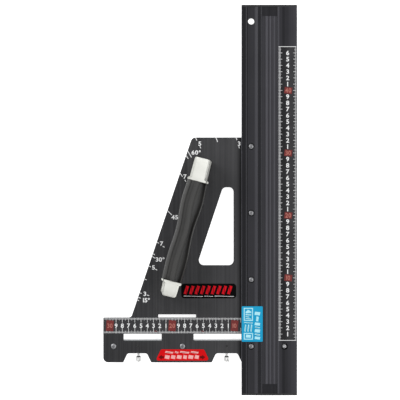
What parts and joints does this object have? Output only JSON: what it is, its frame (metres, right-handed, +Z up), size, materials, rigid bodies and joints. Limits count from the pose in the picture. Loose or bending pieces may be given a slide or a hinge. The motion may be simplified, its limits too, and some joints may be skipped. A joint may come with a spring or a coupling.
{
  "type": "saw guide square",
  "caption": "Circular-saw guide square: printed aluminium rail, protractor plate with carrying handle, and a fence with angle adjusting screws.",
  "frame": {"origin": "the protractor's centre: where the rail's cutting edge crosses the line of the fence's face, level with the undersides that rest on the board", "axes": "+Y along the rail away from the fence, +Z up from the board; the rail, plate and fence lie at negative X"},
  "size_m": [0.3106, 0.625, 0.07],
  "materials": {
    "rail_anodised": "black anodised, satin",
    "plate_anodised": "black anodised, brushed",
    "fence_aluminium": "clear anodised",
    "cap_plastic": "moulded",
    "core_plastic": "moulded",
    "glide_plastic": "low-friction",
    "grip_rubber": "matt",
    "handle_plastic": "semi-gloss",
    "handle_rubber": "soft satin",
    "screw_steel": "zinc plated",
    "badge_film": "printed film",
    "blue_film": "printed film",
    "red_film": "printed film"
  },
  "bodies": {
    "guide": {"rail_extrusion": "rail_anodised", "rail_cap_top": "cap_plastic", "rail_cap_bottom": "cap_plastic", "glide_strip": "glide_plastic", "hanging_bush": "cap_plastic", "grip_strip_left": "grip_rubber", "grip_strip_right": "grip_rubber", "angle_plate": "plate_anodised", "plate_rail_screws": "screw_steel", "fence_pivot_screw": "screw_steel", "fence_clamp_screws": "screw_steel", "fence_washers": "screw_steel", "fence_nuts": "screw_steel", "adjuster_studs": "screw_steel", "handle_post_lower": "handle_plastic", "handle_post_upper": "handle_plastic", "handle_core": "core_plastic", "handle_grip": "handle_rubber", "handle_screws": "screw_steel", "badge": "badge_film", "depth_label": "blue_film", "adjuster_label": "red_film"},
    "fence": {"fence_bar": "fence_aluminium", "fence_cap_left": "cap_plastic", "fence_cap_right": "cap_plastic"},
    "left_pad": {"left_thrust_pad": "screw_steel"},
    "left_screw": {"left_adjusting_screw": "screw_steel"},
    "right_pad": {"right_thrust_pad": "screw_steel"},
    "right_screw": {"right_adjusting_screw": "screw_steel"}
  },
  "joints": [
    {"name": "fence_swing", "type": "hinge", "parent": "guide", "child": "fence", "pos_m": [-0.1835, -0.01, 0], "axis": [0, 0, 1], "range_deg": [-0.7, 0.7]},
    {"name": "left_pad_travel", "type": "slide", "parent": "fence", "child": "left_pad", "axis": [0, 1, 0], "range_m": [-0.00087, 0.00087]},
    {"name": "left_screw_turn", "type": "hinge", "parent": "left_pad", "child": "left_screw", "pos_m": [-0.2545, -0.02, -0.008], "axis": [0, 1, 0], "range_deg": [-391, 391]},
    {"name": "right_pad_travel", "type": "slide", "parent": "fence", "child": "right_pad", "axis": [0, 1, 0], "range_m": [-0.00087, 0.00087]},
    {"name": "right_screw_turn", "type": "hinge", "parent": "right_pad", "child": "right_screw", "pos_m": [-0.1125, -0.02, -0.008], "axis": [0, 1, 0], "range_deg": [-391, 391]}
  ],
  "couplings": [
    {"joint": "left_pad_travel", "follows": "fence_swing", "m_per_rad": 0.071},
    {"joint": "left_screw_turn", "follows": "fence_swing", "ratio": 557.63},
    {"joint": "right_pad_travel", "follows": "fence_swing", "m_per_rad": -0.071},
    {"joint": "right_screw_turn", "follows": "fence_swing", "ratio": -557.63}
  ]
}
